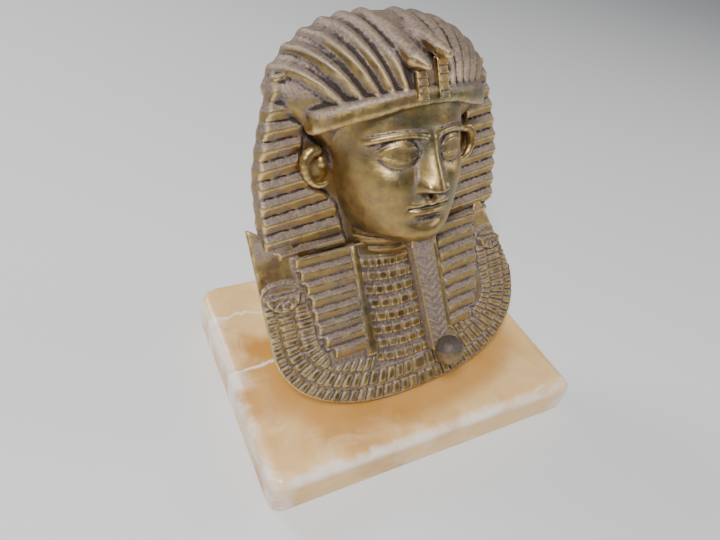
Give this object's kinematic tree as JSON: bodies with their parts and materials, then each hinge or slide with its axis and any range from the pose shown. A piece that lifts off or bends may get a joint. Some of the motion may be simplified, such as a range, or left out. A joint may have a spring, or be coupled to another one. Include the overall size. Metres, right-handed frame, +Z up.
{
  "type": "ancient egyptian king bust ornament on a stone slab",
  "caption": "Cast brass bust of a king in a striped headcloth with broad collar and beard, leaning back on a rectangular onyx slab.",
  "frame": {"origin": "middle of the slab's underside", "axes": "+Z up, face of the bust towards -Y, +X to the viewer's right"},
  "size_m": [0.121, 0.0922, 0.1258],
  "materials": {
    "onyx": "polished honey onyx with white veins",
    "brass": "worn bright on high points, dark lavender-brown tarnish in recesses"
  },
  "bodies": {
    "root": {"onyx_slab": "onyx", "brass_bust": "brass"}
  },
  "joints": []
}
